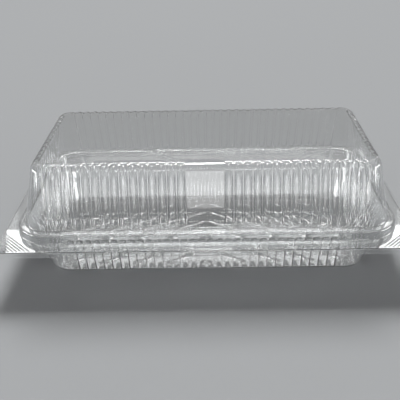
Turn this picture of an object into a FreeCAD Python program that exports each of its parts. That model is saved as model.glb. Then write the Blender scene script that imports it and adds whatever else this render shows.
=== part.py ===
# Clear plastic clamshell pack: a fluted tray and a tall fluted lid thermoformed in one sheet.
# The tray stands on z = 0 with its long sides along X. It opens at -Y and is hinged at +Y.
import FreeCAD, Part
import math
import os
import Sketcher

os.makedirs("parts", exist_ok=True)
doc = FreeCAD.newDocument("clamshell_pack")

# Driving sizes, in millimetres, degrees and counts
driving = [
    ("sheetThickness", 0.4, "thickness of the plastic sheet"),
    ("fitGap", 0.3, "gap between lid and tray where they nest"),
    ("mouthLength", 218.2, "outside length of the walls at the rim"),
    ("mouthWidth", 112.8, "outside width of the walls at the rim"),
    ("mouthRadius", 15.6, "corner radius of the walls at the rim"),
    ("trayDepth", 29.4, "table to the top of the tray's flange"),
    ("trayLeanLong", 9.8, "inward lean of the tray's short walls, rim to foot"),
    ("trayLeanWide", 9.5, "inward lean of the tray's long walls, rim to foot"),
    ("trayFootRadius", 15.4, "corner radius of the tray at its foot"),
    ("trayFootRound", 2.4, "height and inset of the tray's rounded foot"),
    ("lidRise", 36.7, "shelf to the lid's top panel"),
    ("lidLeanLong", 7.5, "inward lean of the lid's short walls, rim to top"),
    ("lidLeanWide", 10.8, "inward lean of the lid's long walls, rim to top"),
    ("lidTopRadius", 8.1, "corner radius of the lid at its top"),
    ("lidTopRound", 2.6, "height and inset of the lid's rounded top edge"),
    ("shelfDepth", 4.4, "width of the shelf between the lid's wall and its skirt"),
    ("skirtHeight", 5.6, "top of the lid's flange to the top of its shelf"),
    ("flangeDepth", 8.8, "width of the flanges outside the skirt"),
    ("flangeRadius", 3, "corner radius of the flanges"),
    ("lipDrop", 2.4, "height of the turned down edge of the tray's flange"),
    ("fluteDepth", 1.3, "depth of the wall flutes"),
    ("fluteCrest", 1.7, "width of the flat land between two flutes"),
    ("fluteFloor", 1.1, "width of a flute's flat bottom"),
    ("lidLongPitch", 5.5, "pitch of the flutes on a long wall of the lid"),
    ("lidShortPitch", 5.76, "pitch of the flutes on a short wall of the lid"),
    ("lidPanel", 22, "plain middle of the lid's front wall"),
    ("trayPitch", 5.24, "pitch of the flutes on the tray"),
    ("cornerSteps", 8, "facets in a wall's round corner"),
    ("ridgeAngle", 30, "angle of the floor ridges to the long side"),
    ("ridgeSpacing", 11, "distance between floor ridges"),
    ("ridgeWidth", 1.8, "width of a floor ridge"),
    ("ridgeHeight", 0.6, "height of a floor ridge"),
    ("floorBorder", 6, "plain border of the floor round the ridges"),
    ("gripFirst", 4, "lid's flange corner to the first grip ridge"),
    ("gripPitch", 1.7, "distance between grip ridges"),
    ("gripWidth", 0.7, "width of a grip ridge"),
    ("gripHeight", 0.3, "height of a grip ridge"),
    ("gripCount", 8, "grip ridges at a front corner"),
    ("hingeInset", 14, "flange left free at each end of the hinge strip"),
    ("hingeSides", 6, "flats round the hinge strip's half tube"),
]
sizes = doc.addObject("Spreadsheet::Sheet", "Sizes")
for row, (alias, value, note) in enumerate(driving, start=1):
    sizes.set(f"A{row}", note)
    sizes.set(f"B{row}", str(value))
    sizes.setAlias(f"B{row}", alias)
doc.recompute()
size = {alias: float(sizes.get(alias)) for alias, value, note in driving}

# Lengths and levels that several pieces share, as expressions on the sheet
lid_flange_level = "(Sizes.trayDepth + Sizes.fitGap)"
tray_flange_level = "(Sizes.trayDepth - Sizes.sheetThickness)"
shelf_top = f"({lid_flange_level} + Sizes.sheetThickness + Sizes.skirtHeight)"
bead_top = f"({shelf_top} - Sizes.sheetThickness - Sizes.fitGap)"
shelf_length = "(Sizes.mouthLength + 2 * Sizes.shelfDepth)"
shelf_width = "(Sizes.mouthWidth + 2 * Sizes.shelfDepth)"
shelf_radius = "(Sizes.mouthRadius + Sizes.shelfDepth)"
flange_length = f"({shelf_length} + 2 * Sizes.flangeDepth)"
flange_width = f"({shelf_width} + 2 * Sizes.flangeDepth)"
overrun = 1
tiny = 1e-6


def worth(expression):
    """Number that an expression on the sheet gives."""
    return float(sizes.evalExpression(expression))


def flute_count(run, pitch):
    """Flutes that fit on a straight run."""
    return int((run + tiny) / pitch)


def wall_points(run, pitch, count, panel, inset, fluted):
    """Points along one straight wall, as (distance along, distance into the pack).

    Flutes are grooves with slanting sides, a pitch apart and centred on the wall, and those
    in the plain panel are left out. Inset moves every side inwards by the same distance. A
    wall without flutes has as many points: all four of a flute's fall on its middle.
    """
    slant = (pitch - size["fluteCrest"] - size["fluteFloor"]) / 2
    mitre = inset * math.tan(math.atan2(size["fluteDepth"], slant) / 2)
    near = size["fluteFloor"] / 2
    points = [(0, inset)]
    for flute in range(count):
        middle = run / 2 + (flute + 0.5 - count / 2) * pitch
        if abs(middle - run / 2) < panel / 2:
            continue
        if fluted:
            points.append((middle - near - slant - mitre, inset))
            points.append((middle - near - mitre, size["fluteDepth"] + inset))
            points.append((middle + near + mitre, size["fluteDepth"] + inset))
            points.append((middle + near + slant + mitre, inset))
        else:
            points.extend(4 * [(middle, inset)])
    points.append((run, inset))
    return points


def ring(length, width, radius, level, flutes, inset, fluted):
    """Points round the pack at one level: four walls, joined by round corners.

    Flutes holds pitch, count and plain panel of the front, right, back and left wall.
    """
    reach_x = length / 2 - radius
    reach_y = width / 2 - radius
    starts = [
        (-reach_x, -width / 2, 0, 2 * reach_x),
        (length / 2, -reach_y, 90, 2 * reach_y),
        (reach_x, width / 2, 180, 2 * reach_x),
        (-length / 2, reach_y, 270, 2 * reach_y),
    ]
    steps = int(size["cornerSteps"])
    points = []
    for (x, y, heading, run), (pitch, count, panel) in zip(starts, flutes):
        angle = math.radians(heading)
        along = FreeCAD.Vector(math.cos(angle), math.sin(angle), 0)
        inward = FreeCAD.Vector(-math.sin(angle), math.cos(angle), 0)
        local = wall_points(run, pitch, count, panel, inset, fluted)
        for step in range(1, steps):
            turn = math.radians(90 * step / steps)
            bend = radius - inset
            local.append((run + bend * math.sin(turn), radius - bend * math.cos(turn)))
        for distance, depth in local:
            points.append(FreeCAD.Vector(x, y, level) + along * distance + inward * depth)
    return points


def flat_wire(points):
    """Closed wire through points, with points that coincide taken once."""
    corners = []
    for point in points:
        if not corners or (point - corners[-1]).Length > tiny:
            corners.append(point)
    if (corners[0] - corners[-1]).Length < tiny:
        corners.pop()
    return Part.makePolygon(corners + corners[:1]) if len(corners) > 2 else None


def flat_face(wires):
    """Flat face inside the first wire and outside the others."""
    return Part.makeFace(wires, "Part::FaceMakerBullseye")


def band(rings):
    """Flat faces from each ring of points to the next."""
    wires = []
    for lower, upper in zip(rings, rings[1:]):
        for index in range(len(lower)):
            after = (index + 1) % len(lower)
            wires.append(flat_wire([lower[index], lower[after], upper[after], upper[index]]))
    return [Part.Face(wire) for wire in wires if wire]


def ridged_panel(edge, ridges, rise):
    """Flat panel inside a ring, with hipped ridges raised from footprints at its level.

    A ridge is (start, end) of its ridge line, and rise lifts all of it to the panel.
    """
    lift = FreeCAD.Vector(0, 0, rise)
    footprints = []
    facets = []
    for start, end in ridges:
        along = (end - start).normalize() * (size["ridgeWidth"] / 2)
        across = FreeCAD.Vector(-along.y, along.x, 0)
        peak = lift + FreeCAD.Vector(0, 0, size["ridgeHeight"])
        corners = [start - along + across, start - along - across,
                   end + along - across, end + along + across]
        corners = [corner + lift for corner in corners]
        peaks = [start + peak, start + peak, end + peak, end + peak]
        footprints.append(flat_wire(corners))
        facets.extend(band([corners, peaks]))
    return [flat_face([flat_wire(edge)] + footprints)] + facets


def add_wall(name, outer, inner, ridges=(), collar=()):
    """Thin cup of flat faces: its rings run from the closed end to the open end.

    A collar is a pair of rings outside the open end, level with the inner and outer skins.
    """
    faces = band(outer) + band(inner) + band(collar)
    faces += ridged_panel(outer[0], ridges, outer[0][0].z)
    faces += ridged_panel(inner[0], ridges, inner[0][0].z)
    if collar:
        faces.append(flat_face([flat_wire(collar[0]), flat_wire(inner[-1])]))
        faces.append(flat_face([flat_wire(collar[1]), flat_wire(outer[-1])]))
    else:
        faces.append(flat_face([flat_wire(outer[-1]), flat_wire(inner[-1])]))
    shell = Part.makeShell(faces)
    shell.sewShape()
    solid = Part.makeSolid(shell)
    if solid.Volume < 0:
        solid.reverse()
    wall = doc.addObject("Part::Feature", name)
    wall.Shape = solid
    return wall


def add_slab(name, length, width, radius, level, height):
    """Rounded rectangle pad, with its sizes as expressions on the sheet."""
    body = doc.addObject("PartDesign::Body", name)
    sketch = body.newObject("Sketcher::SketchObject", f"{name}Sketch")
    plane = next(item for item in body.Origin.OriginFeatures if item.Role == "XY_Plane")
    sketch.AttachmentSupport = [(plane, "")]
    sketch.MapMode = "FlatFace"
    sketch.setExpression("AttachmentOffset.Base.z", level)
    bend = worth(radius)
    reach_x = worth(length) / 2 - bend
    reach_y = worth(width) / 2 - bend
    corners = [(reach_x, -reach_y, 270), (reach_x, reach_y, 0), (-reach_x, reach_y, 90),
               (-reach_x, -reach_y, 180)]
    for x, y, start in corners:
        circle = Part.Circle(FreeCAD.Vector(x, y, 0), FreeCAD.Vector(0, 0, 1), bend)
        arc = Part.ArcOfCircle(circle, math.radians(start), math.radians(start + 90))
        sketch.addGeometry(arc)
    for corner in range(4):
        start = sketch.Geometry[corner].EndPoint
        end = sketch.Geometry[(corner + 1) % 4].StartPoint
        side = sketch.addGeometry(Part.LineSegment(start, end))
        sketch.addConstraint(Sketcher.Constraint("Tangent", corner, 2, side, 1))
        sketch.addConstraint(Sketcher.Constraint("Tangent", side, 2, (corner + 1) % 4, 1))
        upright = corner % 2 == 0
        sketch.addConstraint(Sketcher.Constraint("Vertical" if upright else "Horizontal", side))
    for corner in (1, 2, 3):
        sketch.addConstraint(Sketcher.Constraint("Equal", 0, corner))
    sketch.addConstraint(Sketcher.Constraint("Symmetric", 0, 3, 2, 3, -1, 1))
    sized = [
        (Sketcher.Constraint("Radius", 0, bend), radius),
        (Sketcher.Constraint("DistanceX", 2, 3, 0, 3, 2 * reach_x), f"{length} - 2 * {radius}"),
        (Sketcher.Constraint("DistanceY", 0, 3, 2, 3, 2 * reach_y), f"{width} - 2 * {radius}"),
    ]
    for constraint, expression in sized:
        number = sketch.addConstraint(constraint)
        sketch.setExpression(f"Constraints[{number}]", expression)
    pad = body.newObject("PartDesign::Pad", f"{name}Pad")
    pad.Profile = sketch
    pad.setExpression("Length", height)
    return body


def add_cut(name, base, tool):
    """Base with the tool taken away."""
    cut = doc.addObject("Part::Cut", name)
    cut.Base = base
    cut.Tool = tool
    return cut


def add_fuse(name, shapes):
    """Several solids joined into one."""
    fuse = doc.addObject("Part::MultiFuse", name)
    fuse.Shapes = shapes
    fuse.Refine = False
    return fuse


# The tray's wall, foot to bead
tray_long_run = size["mouthLength"] - 2 * (size["trayLeanLong"] + size["trayFootRadius"])
tray_short_run = size["mouthWidth"] - 2 * (size["trayLeanWide"] + size["trayFootRadius"])
tray_long = (size["trayPitch"], flute_count(tray_long_run, size["trayPitch"]), 0)
tray_short = (size["trayPitch"], flute_count(tray_short_run, size["trayPitch"]), 0)


def tray_ring(level, inset, fluted, foot_inset=0):
    """Ring of the tray's wall at a level, moved inwards by the insets."""
    below = 1 - level / worth(bead_top)
    radius = size["mouthRadius"] + (size["trayFootRadius"] - size["mouthRadius"]) * below
    return ring(size["mouthLength"] - 2 * size["trayLeanLong"] * below,
                size["mouthWidth"] - 2 * size["trayLeanWide"] * below,
                radius, level, 2 * [tray_long, tray_short], inset + foot_inset, fluted)


film = size["sheetThickness"]
foot_round = size["trayFootRound"]


def floor_ridges():
    """Ridge lines on the tray's floor, as (start, end) points at z = 0.

    They rise to the back towards the middle of the pack, mirrored on its two halves.
    """
    angle = math.radians(size["ridgeAngle"])
    border = size["trayFootRound"] + size["floorBorder"]
    reach_x = size["mouthLength"] / 2 - size["trayLeanLong"] - border
    reach_y = size["mouthWidth"] / 2 - size["trayLeanWide"] - border
    along = FreeCAD.Vector(math.cos(angle), math.sin(angle), 0)
    across = FreeCAD.Vector(-math.sin(angle), math.cos(angle), 0)
    middle = FreeCAD.Vector(-reach_x / 2, 0, 0)
    lines = int((reach_x + reach_y) / size["ridgeSpacing"])
    ridges = []
    for line in range(-lines, lines + 1):
        start = middle + across * (line * size["ridgeSpacing"])
        nearest_x = -2 * size["ridgeWidth"]
        ends_x = [(-reach_x - start.x) / along.x, (nearest_x - start.x) / along.x]
        ends_y = [(-reach_y - start.y) / along.y, (reach_y - start.y) / along.y]
        first = max(ends_x[0], ends_y[0])
        last = min(ends_x[1], ends_y[1])
        if last - first < size["ridgeSpacing"]:
            continue
        left = (start + along * first, start + along * last)
        ridges.append(left)
        ridges.append(tuple(FreeCAD.Vector(-point.x, point.y, 0) for point in left))
    return ridges


collar_length = "(Sizes.mouthLength + Sizes.shelfDepth)"
collar_width = "(Sizes.mouthWidth + Sizes.shelfDepth)"
collar_radius = "(Sizes.mouthRadius + Sizes.shelfDepth / 2)"


def collar_rings(lower, upper):
    """Plain rings half-way over the rim, at the two levels of its flat top."""
    return [ring(worth(collar_length), worth(collar_width), worth(collar_radius), level,
                 4 * [(1, 0, 0)], 0, False) for level in (lower, upper)]


tray_wall = add_wall("TrayWall", [
    tray_ring(0, 0, False, foot_round),
    tray_ring(foot_round, 0, True),
    tray_ring(worth(bead_top) - film, 0, True),
], [
    tray_ring(film, film, False, foot_round),
    tray_ring(foot_round + film, film, True),
    tray_ring(worth(bead_top), film, True),
], floor_ridges(), collar_rings(worth(bead_top), worth(bead_top) - film))

# The tray's rim: flange with its turned down edge, and the hollow bead that the lid fits over
tray_flange = add_slab("TrayFlange", flange_length, flange_width, "Sizes.flangeRadius",
                       f"{tray_flange_level} - Sizes.lipDrop",
                       "Sizes.lipDrop + Sizes.sheetThickness")
tray_lip_hollow = add_slab("TrayLipHollow", f"({flange_length} - 2 * Sizes.sheetThickness)",
                           f"({flange_width} - 2 * Sizes.sheetThickness)",
                           "(Sizes.flangeRadius - Sizes.sheetThickness)",
                           f"{tray_flange_level} - Sizes.lipDrop - {overrun}",
                           f"Sizes.lipDrop + {overrun}")
nest = "(Sizes.sheetThickness + Sizes.fitGap)"
tray_bead = add_slab("TrayBead", f"({shelf_length} - 2 * {nest})",
                     f"({shelf_width} - 2 * {nest})", f"({shelf_radius} - {nest})",
                     tray_flange_level, f"{bead_top} - {tray_flange_level}")
bead_wall = f"({nest} + Sizes.sheetThickness)"
tray_bead_hollow = add_slab("TrayBeadHollow", f"({shelf_length} - 2 * {bead_wall})",
                            f"({shelf_width} - 2 * {bead_wall})",
                            f"({shelf_radius} - {bead_wall})",
                            f"{tray_flange_level} - {overrun}",
                            f"{bead_top} - {tray_flange_level} + {overrun}"
                            " - Sizes.sheetThickness")
tray_rim = add_fuse("TrayRim", [add_cut("TrayFlangeShell", tray_flange, tray_lip_hollow),
                                tray_bead])
tray_rim_shell = add_cut("TrayRimShell", tray_rim, tray_bead_hollow)
tray_mouth = add_slab("TrayMouth", f"({collar_length} - Sizes.sheetThickness)",
                      f"({collar_width} - Sizes.sheetThickness)",
                      f"({collar_radius} - Sizes.sheetThickness / 2)",
                      f"{bead_top} - Sizes.sheetThickness * 2",
                      f"Sizes.sheetThickness * 2 + {overrun}")
base_tray = add_fuse("base_tray", [add_cut("TrayRimOpen", tray_rim_shell, tray_mouth), tray_wall])


# The lid's wall and top panel
lid_long_run = size["mouthLength"] - 2 * (size["lidLeanLong"] + size["lidTopRadius"])
lid_short_run = size["mouthWidth"] - 2 * (size["lidLeanWide"] + size["lidTopRadius"])
lid_long_count = flute_count(lid_long_run, size["lidLongPitch"])
lid_front = (size["lidLongPitch"], lid_long_count, size["lidPanel"])
lid_back = (size["lidLongPitch"], lid_long_count, 0)
lid_side = (size["lidShortPitch"], flute_count(lid_short_run, size["lidShortPitch"]), 0)


def lid_ring(level, inset, fluted, top_inset=0):
    """Ring of the lid's wall at a level, moved inwards by the insets."""
    above = (level - worth(shelf_top)) / size["lidRise"]
    radius = size["mouthRadius"] + (size["lidTopRadius"] - size["mouthRadius"]) * above
    return ring(size["mouthLength"] - 2 * size["lidLeanLong"] * above,
                size["mouthWidth"] - 2 * size["lidLeanWide"] * above,
                radius, level, [lid_front, lid_side, lid_back, lid_side], inset + top_inset,
                fluted)


top_round = size["lidTopRound"]
lid_top = worth(shelf_top) + size["lidRise"]
shelf_under = worth(shelf_top) - film
lid_wall = add_wall("LidWall", [
    lid_ring(lid_top, 0, False, top_round),
    lid_ring(lid_top - top_round, 0, True),
    lid_ring(worth(shelf_top), 0, True),
], [
    lid_ring(lid_top - film, film, False, top_round),
    lid_ring(lid_top - top_round - film, film, True),
    lid_ring(shelf_under, film, True),
], collar=collar_rings(shelf_under, worth(shelf_top)))

# The lid's rim: shelf and skirt over the bead, and the flange
lid_skirt = add_slab("LidSkirt", shelf_length, shelf_width, shelf_radius, lid_flange_level,
                     "Sizes.sheetThickness + Sizes.skirtHeight")
lid_skirt_hollow = add_slab("LidSkirtHollow", f"({shelf_length} - 2 * Sizes.sheetThickness)",
                            f"({shelf_width} - 2 * Sizes.sheetThickness)",
                            f"({shelf_radius} - Sizes.sheetThickness)",
                            f"{lid_flange_level} - {overrun}",
                            f"Sizes.skirtHeight + {overrun}")
lid_flange = add_slab("LidFlange", flange_length, flange_width, "Sizes.flangeRadius",
                      lid_flange_level, "Sizes.sheetThickness")


def add_grip(name, side):
    """Grip ridges across one front corner of the lid's flange, as slanted bars."""
    bars = []
    for number in range(int(size["gripCount"])):
        away = size["gripFirst"] + number * size["gripPitch"]
        length = 2 * (away - size["flangeRadius"] / 2)
        bar = doc.addObject("Part::Box", f"{name}{number}")
        bar.Length = length
        bar.setExpression("Width", "Sizes.gripWidth")
        bar.setExpression("Height", "Sizes.gripHeight + Sizes.sheetThickness / 2")
        turn = FreeCAD.Rotation(FreeCAD.Vector(0, 0, 1), 45 * side)
        corner = FreeCAD.Vector(side * worth(flange_length) / 2, -worth(flange_width) / 2,
                                worth(lid_flange_level) + film / 2)
        start = turn.multVec(FreeCAD.Vector(-length / 2, away, 0))
        bar.Placement = FreeCAD.Placement(corner + start, turn)
        bars.append(bar)
    return bars


grip_bars = add_grip("GripRight", 1) + add_grip("GripLeft", -1)
lid_rim = add_fuse("LidRim", [lid_flange, lid_skirt] + grip_bars)
lid_rim_shell = add_cut("LidRimShell", lid_rim, lid_skirt_hollow)
lid_mouth = add_slab("LidMouth", f"({collar_length} - Sizes.sheetThickness)",
                     f"({collar_width} - Sizes.sheetThickness)",
                     f"({collar_radius} - Sizes.sheetThickness / 2)",
                     f"{shelf_top} - Sizes.sheetThickness * 2",
                     f"Sizes.sheetThickness * 2 + {overrun}")
lid = add_fuse("lid", [add_cut("LidRimOpen", lid_rim_shell, lid_mouth), lid_wall])

# The hinge strip: half a tube that joins the back edges of the two flanges and bulges behind
hinge_back = f"{flange_width} / 2"
hinge_level = "Sizes.trayDepth + Sizes.fitGap / 2"
hinge_half = f"({flange_length} / 2 - Sizes.hingeInset)"


def add_hinge_rod(name, radius):
    """Many-sided rod along X, with its axis midway between the back edges of the flanges."""
    rod = doc.addObject("Part::Prism", name)
    rod.Polygon = 2 * int(size["hingeSides"])
    rod.setExpression("Circumradius", radius)
    rod.setExpression("Height", f"2 * {hinge_half}")
    rod.Placement.Rotation = FreeCAD.Rotation(FreeCAD.Vector(0, 1, 0), 90)
    rod.setExpression("Placement.Base.x", f"-{hinge_half}")
    rod.setExpression("Placement.Base.y", hinge_back)
    rod.setExpression("Placement.Base.z", hinge_level)
    return rod


hinge_tube = add_cut("HingeTube",
                     add_hinge_rod("HingeOutside", "Sizes.sheetThickness + Sizes.fitGap / 2"),
                     add_hinge_rod("HingeInside", "Sizes.fitGap / 2"))
hinge_front = doc.addObject("Part::Box", "HingeFront")
hinge_front.setExpression("Length", flange_length)
hinge_front.setExpression("Width", "Sizes.flangeDepth")
hinge_front.setExpression("Height", "Sizes.flangeDepth")
hinge_front.setExpression("Placement.Base.x", f"-{flange_length} / 2")
hinge_front.setExpression("Placement.Base.y", f"{hinge_back} - Sizes.flangeDepth")
hinge_front.setExpression("Placement.Base.z", f"{hinge_level} - Sizes.flangeDepth / 2")
hinge_web = add_cut("hinge_web", hinge_tube, hinge_front)

doc.recompute()
for item in doc.Objects:
    if "Invalid" in item.State or "Error" in item.State:
        raise RuntimeError(f"{item.Name} failed: {item.State}")
for node in (base_tray, lid, hinge_web):
    node.Label = node.Name
    if node.Shape.isNull() or not node.Shape.isValid() or len(node.Shape.Solids) != 1:
        raise RuntimeError(f"{node.Label} is not one valid solid")
    node.Shape.exportStep(f"parts/{node.Label}.step")
    box = node.Shape.BoundBox
    print(f"{node.Label}: {node.Shape.Volume:.0f} mm3, {len(node.Shape.Faces)} faces,"
          f" {box.XLength:.2f} x {box.YLength:.2f} x {box.ZLength:.2f} mm")
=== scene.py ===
import math

import bpy
import numpy as np
from mathutils import Matrix, Vector


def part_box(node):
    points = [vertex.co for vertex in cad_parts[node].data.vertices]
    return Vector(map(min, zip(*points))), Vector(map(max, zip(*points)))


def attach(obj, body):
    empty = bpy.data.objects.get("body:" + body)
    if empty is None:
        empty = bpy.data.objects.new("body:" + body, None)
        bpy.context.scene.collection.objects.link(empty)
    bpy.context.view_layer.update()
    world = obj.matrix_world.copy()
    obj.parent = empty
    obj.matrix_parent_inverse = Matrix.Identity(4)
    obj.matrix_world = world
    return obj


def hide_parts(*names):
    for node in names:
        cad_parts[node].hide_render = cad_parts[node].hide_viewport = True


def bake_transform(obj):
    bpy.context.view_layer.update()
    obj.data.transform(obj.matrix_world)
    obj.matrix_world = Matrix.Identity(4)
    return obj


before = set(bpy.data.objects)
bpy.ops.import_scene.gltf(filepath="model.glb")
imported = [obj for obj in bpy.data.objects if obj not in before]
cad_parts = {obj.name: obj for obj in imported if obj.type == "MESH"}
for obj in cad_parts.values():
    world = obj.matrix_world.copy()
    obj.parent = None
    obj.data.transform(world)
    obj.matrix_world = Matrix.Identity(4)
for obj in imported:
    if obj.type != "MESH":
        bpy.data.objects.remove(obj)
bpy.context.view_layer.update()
mm = 0.001
print("frame loaded:", sorted(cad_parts))

sheet = {
    "thickness": 0.4 * mm,
    "noseSteps": 4,             # rows round the sheet's cut edge
    "guard": 0.12 * mm,         # from a bend to the row that keeps the flat beside it flat
    "innerRow": 1.0 * mm,       # from the last bend to the innermost row
}
rim = {
    "mouthHalfX": 109.1 * mm,   # outside of the walls where they meet the rim
    "mouthHalfY": 56.4 * mm,
    "mouthRadius": 15.6 * mm,
    "shelfDepth": 4.4 * mm,     # wall to skirt
    "fitGap": 0.3 * mm,         # between the tray's flange and the lid's
    "flangeRadius": 3.0 * mm,
    "flangeStart": 1.0 * mm,    # past the skirt by this, corners take the flange's radius
    "leastRadius": 1.0 * mm,
    "cornerPoints": 20,         # points round one corner
    "cornerLead": 0.2,          # share of those before the bend, and after it
}


# Points round the pack at one level. Each wall is a straight run with points at fixed
# distances from its own middle. Each corner is a straight lead, a quarter circle and a
# straight lead, and takes the same shares of its points at every level.
def ringPoints(halfX, halfY, radius, runs):
    share = (np.arange(rim["cornerPoints"]) + 1) / (rim["cornerPoints"] + 1)
    lead = rim["cornerLead"]
    before = np.clip(share / lead, 0, 1)
    bend = np.clip((share - lead) / (1 - 2 * lead), 0, 1) * math.pi / 2
    after = np.clip((share - 1 + lead) / lead, 0, 1)
    points = []
    for side, run in enumerate(runs):
        heading = side * math.pi / 2
        along = np.array([math.cos(heading), math.sin(heading)])
        outward = np.array([math.sin(heading), -math.cos(heading)])
        reach, ahead = (halfY, halfX) if side % 2 == 0 else (halfX, halfY)
        points.append(outward * reach + run[:, None] * along)
        nextRun = runs[(side + 1) % 4]
        alongDistance = run[-1] + before * (ahead - radius - run[-1]) + radius * np.sin(bend)
        outDistance = (reach - radius) * (1 - after) - nextRun[0] * after + radius * np.cos(bend)
        points.append(alongDistance[:, None] * along + outDistance[:, None] * outward)
    return np.concatenate(points)


# Points and groove depths along one fluted wall. A groove's section is half an ellipse: its
# points stand at even angles, and its depth is 1 in the middle and 0 at its two edges.
def fluteRun(form, pitch, count, plainCount=0):
    turn = np.linspace(-math.pi / 2, math.pi / 2, form["steps"])
    number = np.arange(count) - (count - 1) / 2
    places = number[:, None] * pitch + form["width"] / 2 * np.sin(turn)[None, :]
    live = np.abs(number) >= plainCount / 2
    return places.ravel(), (live[:, None] * np.cos(turn)[None, :]).ravel()


# Groove depth at every point round the pack: that of the walls, and none at the corners.
def ringDepths(depths):
    corner = np.zeros(rim["cornerPoints"])
    return np.concatenate([part for depth in depths for part in (depth, corner)])


# Rows of a section through the sheet, as (offset, level). It follows a line through corners
# and rounds each with an arc tangent to both of its sides. A row just before and after each
# arc, and at both ends, keeps the flats between them flat.
def roundedSection(corners, radii, steps):
    corners = np.array(corners, float)
    guard = sheet["guard"]
    rows = [corners[0]]
    for before, corner, after, radius in zip(corners, corners[1:], corners[2:], radii):
        toBefore = (before - corner) / np.linalg.norm(before - corner)
        toAfter = (after - corner) / np.linalg.norm(after - corner)
        centre = corner + radius * (toBefore + toAfter)
        turn = np.linspace(0, math.pi / 2, steps)[:, None]
        rows.append(corner + toBefore * (radius + guard))
        rows.extend(centre - radius * (toAfter * np.cos(turn) + toBefore * np.sin(turn)))
        rows.append(corner + toAfter * (radius + guard))
    rows.append(corners[-1] - toAfter * guard)
    rows.append(corners[-1])
    return np.array(rows)


# Rows of a section that stands upright at one offset
def uprightRows(offset, levels):
    return np.column_stack([np.full(len(levels), offset), levels])


# One ring of points for each row of a section. A wall leans inwards from the mouth by the
# row's share of its whole lean, and its corners' radius goes from the mouth's to the far
# end's by the same share. Rows on the flange take the radius given for them.
def sectionRings(section, shares, form, flangeRadii, runs):
    rings = []
    for (offset, level), share, flangeRadius in zip(section, shares, flangeRadii):
        halfX = rim["mouthHalfX"] - form["leanX"] * share + offset
        halfY = rim["mouthHalfY"] - form["leanY"] * share + offset
        radius = rim["mouthRadius"] + (form["farRadius"] - rim["mouthRadius"]) * share + offset
        if offset > rim["shelfDepth"] + rim["flangeStart"]:
            radius = flangeRadius
        outline = ringPoints(halfX, halfY, radius, runs)
        rings.append(np.column_stack([outline, np.full(len(outline), level)]))
    return np.array(rings)


# Upward normal of every point of a closed band of rings: the cross product of the step to
# the next row and the step to the next point round the pack.
def bandNormals(grid):
    around = np.roll(grid, -1, 1) - np.roll(grid, 1, 1)
    across = np.gradient(grid, axis=0)
    normal = np.cross(across, around)
    return normal / np.maximum(np.linalg.norm(normal, axis=2, keepdims=True), 1e-12)


# Each point moves into the pack by the depth, times its row's share, times its depth in the
# groove's section to the row's power. It moves level on the walls and turns with the round
# edge between a wall and its panel. The tray's skin faces inwards, so its depth is negative.
def groovedSkin(skin, lean, share, groove, power, depth):
    flat = bandNormals(skin) * np.array([-1, -1, 0])
    flat /= np.maximum(np.linalg.norm(flat, axis=2, keepdims=True), 1e-9)
    down = np.array([0, 0, -1])
    shift = flat * np.cos(lean)[:, None, None] + down * np.sin(lean)[:, None, None]
    amount = share[:, None] * groove[None, :] ** power[:, None]
    return skin + shift * (depth * amount)[:, :, None]


# Quads between neighbouring rings, closed around
def ringFaces(rows, columns):
    row = np.arange(rows - 1)[:, None]
    column = np.arange(columns)[None, :]
    after = (column + 1) % columns
    corners = [row * columns + column, (row + 1) * columns + column,
               (row + 1) * columns + after, row * columns + after]
    corners = [np.broadcast_to(corner, (rows - 1, columns)) for corner in corners]
    return np.stack(corners, -1).reshape(-1, 4)


def newPiece(name, points, faces, material, ngons=()):
    mesh = bpy.data.meshes.new(name)
    mesh.from_pydata(points.tolist(), [], faces.tolist() + [list(ngon) for ngon in ngons])
    mesh.polygons.foreach_set("use_smooth", np.ones(len(mesh.polygons), bool))
    mesh.update()
    piece = bpy.data.objects.new(name, mesh)
    bpy.context.scene.collection.objects.link(piece)
    mesh.materials.append(material)
    print(name, "faces:", len(mesh.polygons))
    return piece


# The cut edge of a sheet: half a circle from the outer skin to the inner one, whose centre
# runs midway between them.
def noseRows(outerEdge, innerEdge, away):
    turn = np.linspace(0, math.pi, sheet["noseSteps"] + 2)[1:-1, None, None]
    middle = (outerEdge + innerEdge) / 2
    half = (outerEdge - innerEdge) / 2
    size = np.linalg.norm(half, axis=1, keepdims=True)
    return middle + half * np.cos(turn) + away * size * np.sin(turn)


# The sheet's upper skin is copied a thickness below itself along its normals, and the two
# are joined round the cut edge. The middle of each skin is one flat face, or a patch that
# fills its ring.
def closeSheet(name, skin, material, fillRing=None):
    inner = skin - bandNormals(skin) * sheet["thickness"]
    away = skin[-1] - skin[-2]
    away /= np.linalg.norm(away, axis=1, keepdims=True)
    grid = np.concatenate([skin, noseRows(skin[-1], inner[-1], away), inner[::-1]])
    rows, columns = grid.shape[:2]
    points = grid.reshape(-1, 3)
    faces = ringFaces(rows, columns)
    first = np.arange(columns)
    last = (rows - 1) * columns + first
    if fillRing is None:
        return newPiece(name, points, faces, material, [first, last[::-1]])
    upper, upperFaces = fillRing(first, skin[0], len(points))
    lower, lowerFaces = fillRing(last, inner[0], len(points) + len(upper))
    points = np.concatenate([points, upper, lower])
    faces = np.concatenate([faces, upperFaces, lowerFaces[:, ::-1]])
    return newPiece(name, points, faces, material)


film = {
    "tint": (0.985, 0.99, 0.99),
    "index": 1.59,
    "coat": 0.8,                # second reflection, from the sheet's glossy skin
    "haze": (0.0, 0.02),        # least and most roughness
    "hazeScale": 60,
    "hazeDetail": 5,
    "lidWave": (0.02 * mm, 30 * mm),    # height and length of the skin's slow waves
    "trayWave": (0.012 * mm, 25 * mm),
    "hingeTint": (0.97, 0.98, 0.98),
    "hingeHaze": (0.12, 0.3),
    "hingeWave": (0.02 * mm, 6 * mm),
}


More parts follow.
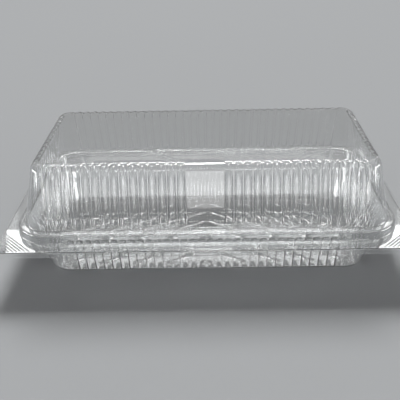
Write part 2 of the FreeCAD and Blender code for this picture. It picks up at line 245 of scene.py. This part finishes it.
# Material of the clear formed sheet: glass-like plastic whose roughness wanders a little,
# with the slow waves that stretching leaves in its skin.
def clearFilm(name, tint, haze, wave):
    material = bpy.data.materials.new(name)
    material.use_nodes = True
    nodes = material.node_tree.nodes
    links = material.node_tree.links
    shader = nodes["Principled BSDF"]
    shader.inputs["Base Color"].default_value = (*tint, 1)
    shader.inputs["Transmission Weight"].default_value = 1
    shader.inputs["IOR"].default_value = film["index"]
    shader.inputs["Coat Weight"].default_value = film["coat"]
    place = nodes.new("ShaderNodeTexCoord")
    cloud = nodes.new("ShaderNodeTexNoise")
    cloud.inputs["Scale"].default_value = film["hazeScale"]
    cloud.inputs["Detail"].default_value = film["hazeDetail"]
    links.new(place.outputs["Object"], cloud.inputs["Vector"])
    spread = nodes.new("ShaderNodeMapRange")
    spread.inputs["To Min"].default_value = haze[0]
    spread.inputs["To Max"].default_value = haze[1]
    links.new(cloud.outputs["Fac"], spread.inputs["Value"])
    links.new(spread.outputs["Result"], shader.inputs["Roughness"])
    waveHeight, waveLength = wave
    swell = nodes.new("ShaderNodeTexNoise")
    swell.inputs["Scale"].default_value = 1 / waveLength
    swell.inputs["Detail"].default_value = 1
    links.new(place.outputs["Object"], swell.inputs["Vector"])
    bump = nodes.new("ShaderNodeBump")
    bump.inputs["Strength"].default_value = 1
    bump.inputs["Distance"].default_value = waveHeight
    links.new(swell.outputs["Fac"], bump.inputs["Height"])
    links.new(bump.outputs["Normal"], shader.inputs["Normal"])
    return material


lidForm = {
    "topRound": 3.2 * mm,
    "topSteps": 8,
    "leanX": 7.5 * mm,          # how far the top stands inside the mouth
    "leanY": 10.8 * mm,
    "farRadius": 8.1 * mm,      # corners at the top
    "shelfRise": 5.6 * mm,      # flange to shelf
    "footRound": 0.7 * mm,      # wall to shelf
    "shelfRound": 1.2 * mm,     # shelf to skirt
    "skirtRound": 0.6 * mm,     # skirt to flange
    "rimSteps": 7,
    "longPitch": 5.5 * mm,
    "longCount": 34,
    "plainCount": 4,            # grooves left out in the middle of the front
    "shortPitch": 5.76 * mm,
    "shortCount": 13,
    "width": 4.2 * mm,          # of a groove
    "depth": 1.3 * mm,
    "steps": 8,
    "scoop": 0.8 * mm,          # how far a groove's round head cuts into the top panel
    "scoopRows": 5,
    "headPower": 4,             # narrows the grooves where they cross the top edge
    "headLength": 2.0 * mm,     # over which they narrow
    "domeHeight": 2.4 * mm,     # rounded foot of each groove
    "wallRows": 8,
    "domeRows": 7,
}


# The lid's outer skin in section, from the middle of its top to the edge of its flange
def lidSection(top, shelf, flangeTop, edge):
    topRound = lidForm["topRound"]
    wallFoot = shelf + lidForm["footRound"]
    domeTop = wallFoot + lidForm["domeHeight"]
    scoops = -topRound - lidForm["scoop"] * np.linspace(1, 0, lidForm["scoopRows"])
    panel = np.concatenate([[scoops[0] - sheet["innerRow"]], scoops[:-1]])
    panelRows = np.column_stack([panel, np.full(len(panel), top)])
    topLine = [(-topRound - sheet["guard"], top), (0, top), (0, domeTop)]
    topRows = roundedSection(topLine, [topRound], lidForm["topSteps"])
    turn = np.linspace(0, math.pi / 2, lidForm["domeRows"])[:-1]
    wall = np.linspace(top - topRound, domeTop, lidForm["wallRows"])[1:-1]
    levels = np.concatenate([wall, domeTop - lidForm["domeHeight"] * np.sin(turn)])
    skirt = rim["shelfDepth"]
    rimLine = [(0, wallFoot), (0, shelf), (skirt, shelf), (skirt, flangeTop), (edge, flangeTop)]
    rimRadii = [lidForm["footRound"], lidForm["shelfRound"], lidForm["skirtRound"]]
    rimRows = roundedSection(rimLine, rimRadii, lidForm["rimSteps"])
    return np.concatenate([panelRows, topRows[1:-2], uprightRows(0, levels), rimRows[2:]])


def makeLid():
    low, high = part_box("lid")
    top = high.z
    flangeTop = low.z + sheet["thickness"]
    shelf = flangeTop + lidForm["shelfRise"]
    edge = high.x - rim["mouthHalfX"] - sheet["thickness"] / 2
    front = fluteRun(lidForm, lidForm["longPitch"], lidForm["longCount"], lidForm["plainCount"])
    back = fluteRun(lidForm, lidForm["longPitch"], lidForm["longCount"])
    end = fluteRun(lidForm, lidForm["shortPitch"], lidForm["shortCount"])
    runs = [front[0], end[0], back[0], end[0]]
    groove = ringDepths([front[1], end[1], back[1], end[1]])

    section = lidSection(top, shelf, flangeTop, edge)
    offset, level = section.T
    above = np.maximum(level - shelf, 0) / (top - shelf)
    flangeRadii = np.full(len(section), rim["flangeRadius"])
    skin = sectionRings(section, above, lidForm, flangeRadii, runs)

    # A groove deepens as a quarter wave from the panel to the round edge, and ends above the
    # shelf in a quarter circle.
    wallTop = top - lidForm["topRound"]
    wallFoot = shelf + lidForm["footRound"]
    lean = np.arcsin(np.clip((level - wallTop) / lidForm["topRound"], 0, 1))
    scooped = np.clip(1 + (offset + lidForm["topRound"]) / lidForm["scoop"], 0, 1)
    dome = np.clip((level - wallFoot) / lidForm["domeHeight"], 0, 1)
    share = np.sin(scooped * math.pi / 2) * (1 - np.sqrt(1 - dome ** 2))
    head = np.clip((level - wallTop) / lidForm["headLength"] + 1, 0, 1)
    power = 1 + (lidForm["headPower"] - 1) * head
    skin = groovedSkin(skin, lean, share, groove, power, lidForm["depth"])
    return closeSheet("clearLid", skin, filmLid)


trayForm = {
    "footRound": 2.0 * mm,      # floor to wall
    "footSteps": 6,
    "leanX": 9.8 * mm,          # how far the foot stands inside the mouth
    "leanY": 9.5 * mm,
    "farRadius": 15.4 * mm,     # corners at the foot
    "nest": 0.7 * mm,           # lid's skirt to the outside of the bead
    "mouthRound": 1.0 * mm,     # wall to bead
    "beadRound": 1.0 * mm,      # bead to skirt
    "skirtRound": 0.5 * mm,     # skirt to flange
    "lipRound": 0.9 * mm,       # flange to edge lip
    "rimSteps": 5,
    "lipDrop": 2.4 * mm,
    "wallReach": 1.0 * mm,      # rows further out than this belong to the rim
    "pitch": 5.24 * mm,
    "longCount": 32,
    "shortCount": 12,
    "width": 4.7 * mm,          # of a groove
    "depth": 2.0 * mm,
    "steps": 6,
    "power": 1.2,               # opens the grooves' flanks
    "footFade": math.pi / 4,    # turn of the foot's arc over which a groove comes in
    "domeHeight": 2.2 * mm,     # rounded head of each groove
    "wallRows": 5,
    "domeRows": 5,
    "ridgeAngle": math.radians(30),
    "ridgeSpacing": 11 * mm,
    "ridgeWidth": 1.4 * mm,
    "ridgeHeight": 0.4 * mm,
    "ridgeBorder": 6.4 * mm,    # plain border of the floor round the ridges
}


# The tray's inner skin in section, from the middle of its floor to the tip of its edge lip
def traySection(floorLevel, bead, flange, edge):
    thickness = sheet["thickness"]
    footRound = trayForm["footRound"]
    wallHead = flange - thickness
    domeFoot = wallHead - trayForm["domeHeight"]
    footLine = [(-thickness - footRound - sheet["innerRow"], floorLevel), (-thickness, floorLevel),
                (-thickness, domeFoot)]
    footRows = roundedSection(footLine, [footRound], trayForm["footSteps"])
    turn = np.linspace(0, math.pi / 2, trayForm["domeRows"])
    wall = np.linspace(floorLevel + footRound, domeFoot, trayForm["wallRows"])[1:-1]
    levels = np.concatenate([wall, domeFoot + trayForm["domeHeight"] * np.sin(turn)])
    beadOut = rim["shelfDepth"] - trayForm["nest"]
    lipTip = flange - trayForm["lipDrop"] - thickness / 2
    rimLine = [(-thickness, wallHead), (-thickness, bead), (beadOut, bead), (beadOut, flange),
               (edge, flange), (edge, lipTip)]
    rimRadii = [trayForm[name] for name in ("mouthRound", "beadRound", "skirtRound", "lipRound")]
    rimRows = roundedSection(rimLine, rimRadii, trayForm["rimSteps"])
    return np.concatenate([footRows[:-2], uprightRows(-thickness, levels), rimRows[1:]])


# Height of the ridges on the tray's floor: half a wave across each line of two mirrored sets
# of slanting lines, which stop at the floor's plain border and at its middle.
def ridgeHeight(x, y):
    plain = trayForm["ridgeBorder"] + trayForm["footRound"]
    reachX = rim["mouthHalfX"] - trayForm["leanX"] - plain
    reachY = rim["mouthHalfY"] - trayForm["leanY"] - plain
    x = -np.abs(x)
    angle = trayForm["ridgeAngle"]
    across = -(x + reachX / 2) * math.sin(angle) + y * math.cos(angle)
    spacing = trayForm["ridgeSpacing"]
    off = np.abs((across + spacing / 2) % spacing - spacing / 2)
    width = trayForm["ridgeWidth"]
    wave = 0.5 + 0.5 * np.cos(np.clip(2 * off / width, 0, 1) * math.pi)
    inside = np.minimum(np.minimum(reachX + x, -x - width), reachY - np.abs(y)) / width
    return trayForm["ridgeHeight"] * wave * np.clip(inside + 0.5, 0, 1)


# Points and faces that fill a ring of the tray's floor, between points that the ring has
# already. Each new point is the blend of the points across from it on the front and back
# edges, plus the blend on the two ends, less that of the four corners.
def fillFloor(ringNumbers, ring, firstNumber):
    cornerPoints = rim["cornerPoints"]
    longSteps = trayForm["longCount"] * trayForm["steps"] + cornerPoints
    shortSteps = trayForm["shortCount"] * trayForm["steps"] + cornerPoints
    order = np.roll(np.arange(len(ring)), cornerPoints // 2)
    marks = np.cumsum([0, longSteps, shortSteps, longSteps, shortSteps])
    sides = [order[np.arange(start, end + 1) % len(order)] for start, end in zip(marks, marks[1:])]
    front, right, back, left = sides[0], sides[1], sides[2][::-1], sides[3][::-1]
    along = np.linspace(0, 1, longSteps + 1)[None, :, None]
    across = np.linspace(0, 1, shortSteps + 1)[:, None, None]
    blend = ((1 - across) * ring[front][None] + across * ring[back][None]
             + (1 - along) * ring[left][:, None] + along * ring[right][:, None]
             - (1 - along) * (1 - across) * ring[front[0]] - along * (1 - across) * ring[front[-1]]
             - (1 - along) * across * ring[back[0]] - along * across * ring[back[-1]])
    blend[:, :, 2] += ridgeHeight(blend[:, :, 0], blend[:, :, 1])
    numbers = np.zeros(blend.shape[:2], int)
    inside = numbers[1:-1, 1:-1]
    inside[:] = firstNumber + np.arange(inside.size).reshape(inside.shape)
    numbers[0], numbers[-1] = ringNumbers[front], ringNumbers[back]
    numbers[:, 0], numbers[:, -1] = ringNumbers[left], ringNumbers[right]
    quads = np.stack([numbers[:-1, :-1], numbers[:-1, 1:], numbers[1:, 1:], numbers[1:, :-1]], -1)
    return blend[1:-1, 1:-1].reshape(-1, 3), quads.reshape(-1, 4)


def makeTray():
    low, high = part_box("base_tray")
    thickness = sheet["thickness"]
    bead = high.z
    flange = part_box("lid")[0].z - rim["fitGap"]
    floorLevel = low.z + thickness
    edge = high.x - rim["mouthHalfX"]
    longRun = fluteRun(trayForm, trayForm["pitch"], trayForm["longCount"])
    shortRun = fluteRun(trayForm, trayForm["pitch"], trayForm["shortCount"])
    runs = [longRun[0], shortRun[0], longRun[0], shortRun[0]]
    groove = ringDepths([longRun[1], shortRun[1], longRun[1], shortRun[1]])

    section = traySection(floorLevel, bead, flange, edge)
    offset, level = section.T
    below = np.where(offset > trayForm["wallReach"], 0, np.clip(1 - level / bead, 0, 1))
    flangeRadii = np.maximum(rim["flangeRadius"] + offset - edge, rim["leastRadius"])
    skin = sectionRings(section, below, trayForm, flangeRadii, runs)

    # A groove comes in over the upper part of the foot's arc and ends under the flange in a
    # quarter circle.
    wallFoot = floorLevel + trayForm["footRound"]
    wallHead = flange - thickness
    lean = np.arcsin(np.clip((wallFoot - level) / trayForm["footRound"], 0, 1))
    risen = np.clip((math.pi / 2 - lean) / trayForm["footFade"], 0, 1)
    dome = np.clip((wallHead - level) / trayForm["domeHeight"], 0, 1)
    share = risen * risen * (3 - 2 * risen) * (1 - np.sqrt(1 - dome ** 2))
    share[offset > 0] = 0
    power = np.full(len(level), trayForm["power"])
    skin = groovedSkin(skin, lean, share, groove, power, -trayForm["depth"])
    return closeSheet("clearTray", skin, filmTray, fillFloor)


hingeForm = {
    "arcPoints": 12,
    "alongPoints": 48,
    "overlap": 0.5 * mm,        # how far the strip runs into each flange
    "inset": 0.02 * mm,         # keeps its skins off those of the flanges
    "anchor": 0.35 * mm,        # from the strip's middle to where each body holds it
}


# Half a tube along the back edge: a sheet's section runs from the tray's flange, round half
# a circle behind the edges, to the lid's flange, and is carried along the edge.
def makeHinge():
    low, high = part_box("hinge_web")
    centre = (low.z + high.z) / 2
    outer = (high.z - low.z) / 2
    turn = np.linspace(-math.pi / 2, math.pi / 2, hingeForm["arcPoints"])
    start = [-hingeForm["overlap"]]
    skins = []
    for radius in (outer - hingeForm["inset"], outer - sheet["thickness"] + hingeForm["inset"]):
        y = np.concatenate([start, radius * np.cos(turn), start])
        z = np.concatenate([[-radius], radius * np.sin(turn), [radius]])
        skins.append(np.stack([low.y + y, centre + z], -1))
    section = np.concatenate([skins[0], skins[1][::-1]])
    along = np.linspace(low.x, high.x, hingeForm["alongPoints"])
    grid = np.zeros((len(along), len(section), 3))
    grid[:, :, 0] = along[:, None]
    grid[:, :, 1:] = section[None]
    faces = ringFaces(len(along), len(section))[:, ::-1]
    first = np.arange(len(section))
    last = (len(along) - 1) * len(section) + first
    return newPiece("hingeStrip", grid.reshape(-1, 3), faces, filmHinge, [first[::-1], last])


gripForm = {
    "count": 8,
    "first": 4.0 * mm,          # flange corner to the first bar, along the diagonal
    "pitch": 1.7 * mm,
    "width": 0.75 * mm,
    "height": 0.28 * mm,
    "sunk": 0.05 * mm,
    "arcPoints": 9,
    "alongPoints": 15,
    "blunt": 0.02,              # keeps a bar's two ends from closing to a point
}


# Half-round bars across the lid's front corners. A bar's section is half an ellipse, and it
# is carried along the bar and shrinks to its ends as a quarter circle does.
def makeGrip():
    low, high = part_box("lid")
    top = low.z + sheet["thickness"] - gripForm["sunk"]
    turn = np.linspace(0, math.pi, gripForm["arcPoints"])
    across = gripForm["width"] / 2 * np.cos(turn)
    height = (gripForm["height"] + gripForm["sunk"]) * np.sin(turn)
    place = np.sin(np.linspace(-math.pi / 2, math.pi / 2, gripForm["alongPoints"]))
    shrink = np.sqrt(np.clip(1 + gripForm["blunt"] - place ** 2, 0, 1))[:, None]
    points = []
    faces = []
    ngons = []
    diagonal = math.sqrt(0.5)
    for side in (-1, 1):
        for number in range(gripForm["count"]):
            away = gripForm["first"] + number * gripForm["pitch"]
            along = (place * (away - rim["flangeRadius"] / 2))[:, None]
            inward = away + across[None, :] * shrink
            x = side * (high.x + (along - inward) * diagonal)
            y = low.y + (along + inward) * diagonal
            bar = np.stack([x, y, top + height[None, :] * shrink], -1)
            start = len(points) * bar.shape[0] * bar.shape[1]
            points.append(bar.reshape(-1, 3))
            quads = ringFaces(*bar.shape[:2]) + start
            faces.append(quads if side == -1 else quads[:, ::-1])
            first = start + np.arange(bar.shape[1])
            last = first + (bar.shape[0] - 1) * bar.shape[1]
            ngons += [first, last[::-1]] if side == -1 else [first[::-1], last]
    return newPiece("gripRidges", np.concatenate(points), np.concatenate(faces), filmLid, ngons)


filmLid = clearFilm("lid film", film["tint"], film["haze"], film["lidWave"])
filmTray = clearFilm("tray film", film["tint"], film["haze"], film["trayWave"])
filmHinge = clearFilm("hinge film", film["hingeTint"], film["hingeHaze"], film["hingeWave"])

clearLid = makeLid()
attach(clearLid, "lid")
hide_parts("lid")
gripRidges = makeGrip()
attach(gripRidges, "lid")
clearTray = makeTray()
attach(clearTray, "base")
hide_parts("base_tray")
hingeStrip = makeHinge()
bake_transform(hingeStrip)
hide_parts("hinge_web")
print("clear sheet pieces made")

studio = {
    "floor": (0.42, 0.43, 0.44),
    "floorReach": 4,
    "floorDrop": 0.2 * mm,      # keeps the floor off the pack's foot
    "floorRoughness": 0.9,
    "floorShine": 0.1,
    "world": 0.2,               # seen by reflections and by the floor
    "backdrop": 0.42,           # seen directly and through the clear sheet
    "sun": 2.6,
    "sunWidth": math.radians(24),
    "sunTilt": math.radians(36),
    "aim": (0, 0, 0.03),
}
# Name, place, width, height and watts. Those at the sides draw the pack's upright corners,
# and the one behind draws its flats.
softboxes = [
    ("behind", (0, 1.1, 0.8), 1.2, 0.1, 1.0),
    ("front", (0, -1.1, 0.15), 1.2, 0.1, 0.5),
    ("left", (-2.0, -0.4, 0.22), 1.6, 0.4, 14),
    ("right", (2.0, -0.4, 0.22), 1.6, 0.4, 14),
]
view = {
    "place": (0.0033, -0.3504, 0.2200),
    "elevation": math.radians(29.19),
    "yaw": math.radians(-1.217),
    "roll": math.radians(-1.419),
    "lens": 53.53,
    "sensor": 36,
    "clipStart": 0.01,
}


def addFloor():
    material = bpy.data.materials.new("floor")
    material.use_nodes = True
    shader = material.node_tree.nodes["Principled BSDF"]
    shader.inputs["Base Color"].default_value = (*studio["floor"], 1)
    shader.inputs["Roughness"].default_value = studio["floorRoughness"]
    shader.inputs["Specular IOR Level"].default_value = studio["floorShine"]
    reach = studio["floorReach"]
    corners = [(-reach, -reach), (reach, -reach), (reach, reach), (-reach, reach)]
    points = np.array([(x, y, -studio["floorDrop"]) for x, y in corners])
    floor = newPiece("floor", points, np.array([[0, 1, 2, 3]]), material)


def addSoftbox(name, place, width, height, power):
    light = bpy.data.lights.new(name, "AREA")
    light.shape = "RECTANGLE"
    light.size = width
    light.size_y = height
    light.energy = power
    lamp = bpy.data.objects.new(name, light)
    lamp.visible_camera = False
    bpy.context.scene.collection.objects.link(lamp)
    turn = (Vector(studio["aim"]) - Vector(place)).to_track_quat("-Z", "Y")
    lamp.matrix_world = Matrix.Translation(place) @ turn.to_matrix().to_4x4()


# A wide sun gives an even floor. The sky has one brightness for what is seen directly or
# through the clear sheet, and another for what it lights and what mirrors it.
def lightScene():
    light = bpy.data.lights.new("above", "SUN")
    light.energy = studio["sun"]
    light.angle = studio["sunWidth"]
    above = bpy.data.objects.new("above", light)
    bpy.context.scene.collection.objects.link(above)
    above.rotation_euler = (-studio["sunTilt"], 0, 0)
    for softbox in softboxes:
        addSoftbox(*softbox)
    world = bpy.data.worlds.new("studio")
    bpy.context.scene.world = world
    world.use_nodes = True
    nodes = world.node_tree.nodes
    links = world.node_tree.links
    nodes["Background"].inputs["Color"].default_value = (1, 1, 1, 1)
    path = nodes.new("ShaderNodeLightPath")
    seen = nodes.new("ShaderNodeMath")
    seen.operation = "MAXIMUM"
    links.new(path.outputs["Is Camera Ray"], seen.inputs[0])
    links.new(path.outputs["Is Transmission Ray"], seen.inputs[1])
    level = nodes.new("ShaderNodeMapRange")
    level.inputs["To Min"].default_value = studio["world"]
    level.inputs["To Max"].default_value = studio["backdrop"]
    links.new(seen.outputs[0], level.inputs["Value"])
    links.new(level.outputs["Result"], nodes["Background"].inputs["Strength"])


# The photograph's camera: turned by yaw, tipped down by elevation, then rolled about its view
def addCamera():
    elevation, yaw, roll = view["elevation"], view["yaw"], view["roll"]
    flat = math.cos(elevation)
    ahead = Vector((math.sin(yaw) * flat, math.cos(yaw) * flat, -math.sin(elevation)))
    level = Vector((math.cos(yaw), -math.sin(yaw), 0))
    upright = level.cross(ahead)
    right = level * math.cos(roll) + upright * math.sin(roll)
    up = upright * math.cos(roll) - level * math.sin(roll)
    lens = bpy.data.cameras.new("camera")
    lens.sensor_width = view["sensor"]
    lens.lens = view["lens"]
    lens.clip_start = view["clipStart"]
    camera = bpy.data.objects.new("camera", lens)
    bpy.context.scene.collection.objects.link(camera)
    turn = Matrix((right, up, -ahead)).transposed()
    camera.matrix_world = Matrix.Translation(view["place"]) @ turn.to_4x4()
    bpy.context.scene.camera = camera


addFloor()
lightScene()
addCamera()
scene = bpy.context.scene
scene.view_settings.view_transform = "Standard"
scene.cycles.max_bounces = 32
scene.cycles.transmission_bounces = 32
scene.cycles.glossy_bounces = 8
print("stage, lights and camera set")
